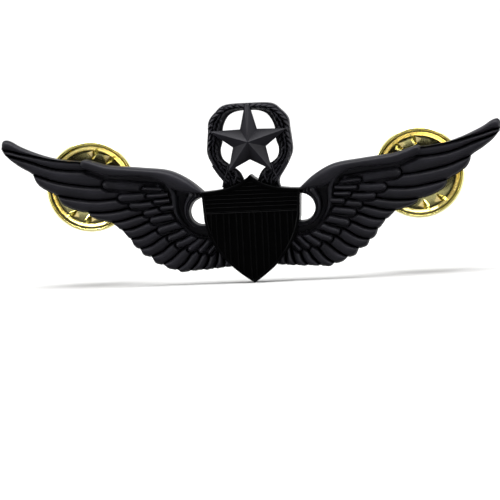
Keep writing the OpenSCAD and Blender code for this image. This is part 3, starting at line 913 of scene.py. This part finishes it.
def build_clutch_base(side):
    """Drawn disc: a funnel round the bore, a dished floor, a rolled rim, and four stamped prongs."""
    front = [(BORE_R, 0.42), (0.68, 0.33), (0.80, 0.32), (0.93, 0.44), (1.10, 0.62), (1.45, 0.72),
             (1.9, FLOOR), (2.8, 0.71), (3.6, 0.67), (4.3, 0.63), (4.6, 0.585), (4.72, 0.53), (4.98, 0.30),
             (5.26, 0.06), (5.32, 0.05), (5.36, 0.14)]
    rim = arc((DISC_R - BEAD_R, BEAD_R), BEAD_R, 185, 440, 24)
    back = [(5.49, 0.47), (5.2, 0.70), (4.98, 0.86), (4.78, 0.98), (4.6, 1.03), (4.2, FLOOR_BACK),
            (1.5, FLOOR_BACK), (1.15, 0.98), (0.95, 0.80), (BORE_R, 0.72)]
    solid = Solid()
    lathe(solid, front + rim + back)
    obj = solid.build(f"{side}_clutch_disc", side)
    cutter = Solid()
    for angle in PRONG_ANGLES:
        inner, outer, turn = prong_corners(angle)
        prism(cutter, [inner, outer, along_root(inner, outer, turn * -PRONG_CUT)], 0.4, 1.3)
    carve(obj, cutter.build("cutter", side))
    flaps = Solid()
    for angle in PRONG_ANGLES:
        inner, outer, turn = prong_corners(angle)
        tip = along_root(inner, outer, turn * PRONG_REACH)
        thick = turn * -0.22
        front = [at_post(*inner, FLOOR + 0.05), at_post(*outer, FLOOR + 0.05), at_post(*tip, 0.04)]
        back = [at_post(*(inner + thick), FLOOR + 0.12), at_post(*(outer + thick), FLOOR + 0.12),
                at_post(*(tip + thick * 0.45), 0.02)]
        flaps.tube([front, back], world=True)
    prongs = flaps.build(f"{side}_clutch_prongs", side, sharp_angle=25)
    for piece in (obj, prongs):
        finish_piece(piece, f"{side}_clutch", CLUTCH_BRASS, [f"{side}_clutch_base"])


def build_clutch_cover(side):
    """Drawn cap: a crimped flange, a rounded crown with a shallow ring, and two windows for the ears."""
    top = COVER_TOP
    crimp, fillet, crown = SHEET / 2, 0.22, (COVER_R - CROWN_R, top - CROWN_R)
    flange_top = FLOOR_BACK + SHEET
    profile = [(COVER_R - SHEET, FLOOR_BACK), (FLANGE_R - 0.12, FLOOR_BACK)]
    profile += arc((FLANGE_R - crimp, FLOOR_BACK + crimp), crimp, -90, 90, 8) + [(COVER_R + 0.3, flange_top)]
    profile += arc((COVER_R + fillet, flange_top + fillet), fillet, -90, -180, 5)
    profile += arc(crown, CROWN_R, 0, 90, 12)
    profile += [(2.55, top), (2.42, top - 0.03), (2.3, top - 0.09), (2.05, top - 0.1), (1.9, top - 0.05),
                (1.75, top), (0.0, top), (0.0, top - SHEET), (2.9, top - SHEET)]
    profile += arc(crown, 0.33, 80, 0, 8)
    solid = Solid()
    lathe(solid, profile)
    obj = solid.build(f"{side}_clutch_cap", side)
    low, high = flange_top + 0.02, top - 0.55
    corner_x, corner_z = WINDOW_HALF - WINDOW_R, high - WINDOW_R
    outline = arc((corner_x, corner_z), WINDOW_R, 0, 90, 6) + arc((-corner_x, corner_z), WINDOW_R, 90, 180, 6)
    outline += [(-WINDOW_HALF, low), (WINDOW_HALF, low)]
    cutter = Solid()
    cutter.tube([[at_post(x, up, c) for x, c in outline] for up in (-5, 5)], world=True)
    carve(obj, cutter.build("cutter", side))
    finish_piece(obj, f"{side}_clutch", CAP_BRASS, [f"{side}_clutch_cover"])


def ear_path(mid, top):
    """Middle line of an ear's sheet as (up, back), and how long the thumb tab at its end is."""
    path = [(up, mid) for up in np.linspace(TONGUE_END, BEND_UP, 34)]
    path += arc((BEND_UP, mid + BEND_R), BEND_R, -90, -math.degrees(TAB_LEAN), 12)[1:]
    foot = path[-1]
    reach = (top - foot[1]) / math.cos(TAB_LEAN)
    tab = np.linspace(0, reach, 72)[1:]
    path += [(foot[0] + t * math.sin(TAB_LEAN), foot[1] + t * math.cos(TAB_LEAN)) for t in tab]
    return np.array(path), reach


def build_ear(side, end):
    """A squeeze ear bent from sheet: a slotted tongue, a rounded bend, and a thumb tab with pressed ribs."""
    sign = END_SIGNS[end]
    ear_low, ear_high = (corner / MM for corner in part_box(f"right_{end}_ear"))
    level = ear_low.y - CLOTH_GAP + 0.04
    mid = level + SHEET / 2
    path, reach = ear_path(mid, ear_high.y - CLOTH_GAP - 0.02)
    run = np.concatenate([[0], np.cumsum(np.linalg.norm(np.diff(path, axis=0), axis=1))])
    tab_start = run[-1] - reach
    across = np.linspace(-1, 1, 19)
    rings = []
    for k, (up, c) in enumerate(path):
        d = path[min(k + 1, len(path) - 1)] - path[max(k - 1, 0)]
        n = np.array([d[1], -d[0]]) / np.linalg.norm(d)
        widen = min(max((run[k] - tab_start + 1.1) / 0.9, 0.0), 1.0)
        half = lerp(TONGUE_HALF, TAB_HALF, widen * widen * (3 - 2 * widen))
        half -= (TAB_ROUND * (1 - rounded((run[-1] - run[k]) / TAB_ROUND + 0.001))
                 + TONGUE_ROUND * (1 - rounded(run[k] / TONGUE_ROUND + 0.001)))
        along = run[k] - tab_start
        ribs = sum(math.exp(-((along - (reach - 0.45 - RIB_PITCH * j)) / RIB_HALF) ** 2) for j in range(RIBS))
        grip = RIB_RISE * ribs * np.clip((0.86 - np.abs(across)) / 0.08, 0, 1)
        edge = SHEET / 2 - 0.05 * np.clip((np.abs(across) - 0.93) / 0.07, 0, 1)
        outer = [at_post(half * a, sign * (up + n[0] * (e + g)), c + n[1] * (e + g))
                 for a, e, g in zip(across, edge, grip)]
        inner = [at_post(half * a, sign * (up - n[0] * e), c - n[1] * e) for a, e in zip(across, edge)]
        rings.append(outer + inner[::-1])
    solid = Solid()
    solid.tube(rings, world=True)
    obj = solid.build(f"{side}_{end}_ear_sheet", side)
    slot = arc((0, 0), JAW_R, 180, 360, 18) + arc((0, TRAVEL + 0.1), JAW_R, 0, 180, 18)
    cutter = Solid()
    prism(cutter, [(x, sign * up) for x, up in slot], level - 0.4, level + 0.7)
    carve(obj, cutter.build("cutter", side))
    finish_piece(obj, f"{side}_{end}_ear", CAP_BRASS, [f"{side}_{end}_ear"])


def build_post(side):
    """Turned post: a filleted flange, a plain shank, a retaining groove, and a rounded point."""
    r, end = POST_R, POST_END - CLOTH_GAP
    flange = [(0.0, 0.0), (0.93, 0.0), (0.95, 0.03), (0.95, 0.19), (0.90, 0.25), (0.66, 0.25), (0.58, 0.29),
              (r, 0.38)]
    groove = [(r, 1.36), (0.53, 1.32), (0.44, 1.24), (0.43, 1.05), (0.44, 0.95), (0.53, 0.88), (r, 0.84)]
    point = [(0.49, 0.70), (0.34, 0.42), (0.19, 0.15), (0.10, 0.03), (0.0, 0.0)]
    profile = [(x, -CLOTH_GAP + c) for x, c in flange] + [(x, end - c) for x, c in groove + point]
    solid = Solid()
    lathe(solid, profile, segments=64)
    obj = solid.build(f"{side}_turned_post", side)
    finish_piece(obj, "badge", POST_BRASS, [f"{side}_post"])


def build_solder(side, rng):
    """A lumpy ring of solder wetted onto the back of the wing."""
    phases = rng.uniform(0, 2 * math.pi, 4)
    back = -CLOTH_GAP
    profile = [(0.93, back), (1.30, back), (1.27, back + 0.03), (1.17, back + 0.08), (1.06, back + 0.15),
               (0.98, back + 0.24), (0.93, back + 0.24)]

    def spread(q):
        return 1.04 + sum(0.03 / (k + 1) * math.sin((k + 2) * q + phases[k]) for k in range(4))

    solid = Solid()
    lathe(solid, profile, segments=96, spread=spread)
    obj = solid.build(f"{side}_solder_ring", side, sharp_angle=60)
    finish_piece(obj, "badge", SOLDER, [f"{side}_solder_fillet"])


def build_spring(side, end):
    """Half of the bow spring: it leaves the middle of the clutch and pushes on one thumb tab."""
    sign = END_SIGNS[end]
    spring_low, spring_high = (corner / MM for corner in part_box("right_clutch_spring"))
    level = (spring_low.y + spring_high.y) / 2 - CLOTH_GAP
    reach = spring_high.z - 0.03
    bow = POST_X - spring_low.x - WIRE_R
    end_x = bow - (spring_high.x - spring_low.x) + 2 * WIRE_R
    radius = bow + (reach ** 2 + end_x ** 2 - bow ** 2) / (2 * (bow - end_x))
    limit = math.asin(reach / radius)
    rings = []
    for q in np.linspace(0, limit, 40):
        out = np.array([-math.cos(q), math.sin(q)])
        centre = np.array([radius - bow, 0.0]) + radius * out
        ring = []
        for w in np.linspace(0, 2 * math.pi, 17)[:-1]:
            p = centre + out * WIRE_R * math.cos(w)
            ring.append(at_post(p[0], sign * p[1], level + WIRE_R * math.sin(w)))
        rings.append(ring)
    solid = Solid()
    solid.tube(rings, world=True)
    obj = solid.build(f"{side}_{end}_spring_wire", side, sharp_angle=50)
    obj.data.materials.append(SPRING_STEEL)
    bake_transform(obj)
    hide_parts(f"{side}_clutch_spring")


rng = np.random.default_rng(21)
for side in SIDES:
    build_post(side)
    build_solder(side, rng)
    build_clutch_base(side)
    build_clutch_cover(side)
    for end in END_SIGNS:
        build_ear(side, end)
        build_spring(side, end)


# ---------------------------------------------------------------- stage, light and camera
# Floor tints by distance from the badge, in m. There is painted shade close by, where the top lamp lights the
# floor most, so that the brass isn't flooded with light. The floor is painted paler far out, where less light
# reaches, so that it shows evenly white.
FLOOR_SHADE_TINTS = [(0.04, (0.22, 0.22, 0.219)), (0.45, (0.66, 0.66, 0.658)), (0.99, (0.92, 0.92, 0.917))]


def build_stage():
    """A pale floor under the badge's lowest point, with painted shade that deepens towards the badge."""
    size = 3.0
    corners = [(x * size, y * size, cad_low.z) for x, y in ((-1, -1), (1, -1), (1, 1), (-1, 1))]
    mesh = bpy.data.meshes.new("floor")
    mesh.from_pydata(corners, [], [(0, 1, 2, 3)])
    floor = bpy.data.objects.new("floor", mesh)
    bpy.context.collection.objects.link(floor)
    mat, tree, shader = node_material("floor_painted_shade")
    coords = tree.nodes.new("ShaderNodeTexCoord")
    reach = tree.nodes.new("ShaderNodeVectorMath")
    reach.operation = "LENGTH"
    tree.links.new(coords.outputs["Object"], reach.inputs[0])
    tint = add_ramp(tree, reach.outputs["Value"], FLOOR_SHADE_TINTS)
    tree.links.new(tint, shader.inputs["Base Color"])
    shader.inputs["Roughness"].default_value = 0.8
    mesh.materials.append(mat)


def area_light(name, place, size, watts):
    """A white rectangular lamp, in metres and watts, that shines at the badge."""
    light = bpy.data.lights.new(name, "AREA")
    light.shape = "RECTANGLE"
    light.size, light.size_y = size
    light.energy = watts
    obj = bpy.data.objects.new(name, light)
    obj.location = place
    obj.rotation_euler = (-Vector(place)).to_track_quat("-Z", "Y").to_euler()
    bpy.context.collection.objects.link(obj)


# The dark opening in the world: where its middle lies, and its tint by the cosine of the angle from there.
OPENING_AIM = (0.05, -0.97, 0.24)
OPENING_TINTS = [(0.72, (1.0, 1.0, 1.0)), (0.92, (0.1, 0.1, 0.11))]


def build_world():
    """A white studio with a dark opening on the camera's side, which the front faces reflect."""
    world = bpy.data.worlds.new("studio")
    world.use_nodes = True
    tree = world.node_tree
    coords = tree.nodes.new("ShaderNodeTexCoord")
    aim = tree.nodes.new("ShaderNodeVectorMath")
    aim.operation = "DOT_PRODUCT"
    aim.inputs[1].default_value = OPENING_AIM
    tree.links.new(coords.outputs["Generated"], aim.inputs[0])
    shade = add_ramp(tree, aim.outputs["Value"], OPENING_TINTS)
    background = tree.nodes["Background"]
    tree.links.new(shade, background.inputs["Color"])
    background.inputs["Strength"].default_value = 1.2
    bpy.context.scene.world = world
    bpy.context.scene.view_settings.view_transform = "Standard"


def build_lights():
    """A strong soft lamp above the badge, and one to each side of it."""
    area_light("top", (0.0, -0.03, 0.34), (0.40, 0.20), 6.0)
    for name, sign in SIDES.items():
        area_light(name, (sign * 0.40, -0.10, 0.03), (0.20, 0.30), 4.0)


def build_camera():
    """A long lens, a little above the badge and to its right, rolled as the photo is."""
    distance, sensor = 0.5, 36.0
    frame_width = 63.2 * MM
    azimuth, elevation, roll = math.radians(6.84), math.radians(4.0), math.radians(-2.87)
    data = bpy.data.cameras.new("camera")
    data.sensor_width = sensor
    data.lens = sensor * distance / frame_width
    data.clip_start, data.clip_end = 0.01, 20.0
    cam = bpy.data.objects.new("camera", data)
    bpy.context.collection.objects.link(cam)
    back = Vector((math.sin(azimuth) * math.cos(elevation), -math.cos(azimuth) * math.cos(elevation),
                   math.sin(elevation)))
    cam.rotation_mode = "QUATERNION"
    cam.rotation_quaternion = (-back).to_track_quat("-Z", "Y") @ Quaternion((0, 0, 1), roll)
    right = cam.rotation_quaternion @ Vector((1, 0, 0))
    up = cam.rotation_quaternion @ Vector((0, 1, 0))
    cam.location = back * distance + right * CAMERA_RIGHT * MM + up * CAMERA_UP * MM
    bpy.context.scene.camera = cam


build_stage()
build_world()
build_lights()
build_camera()
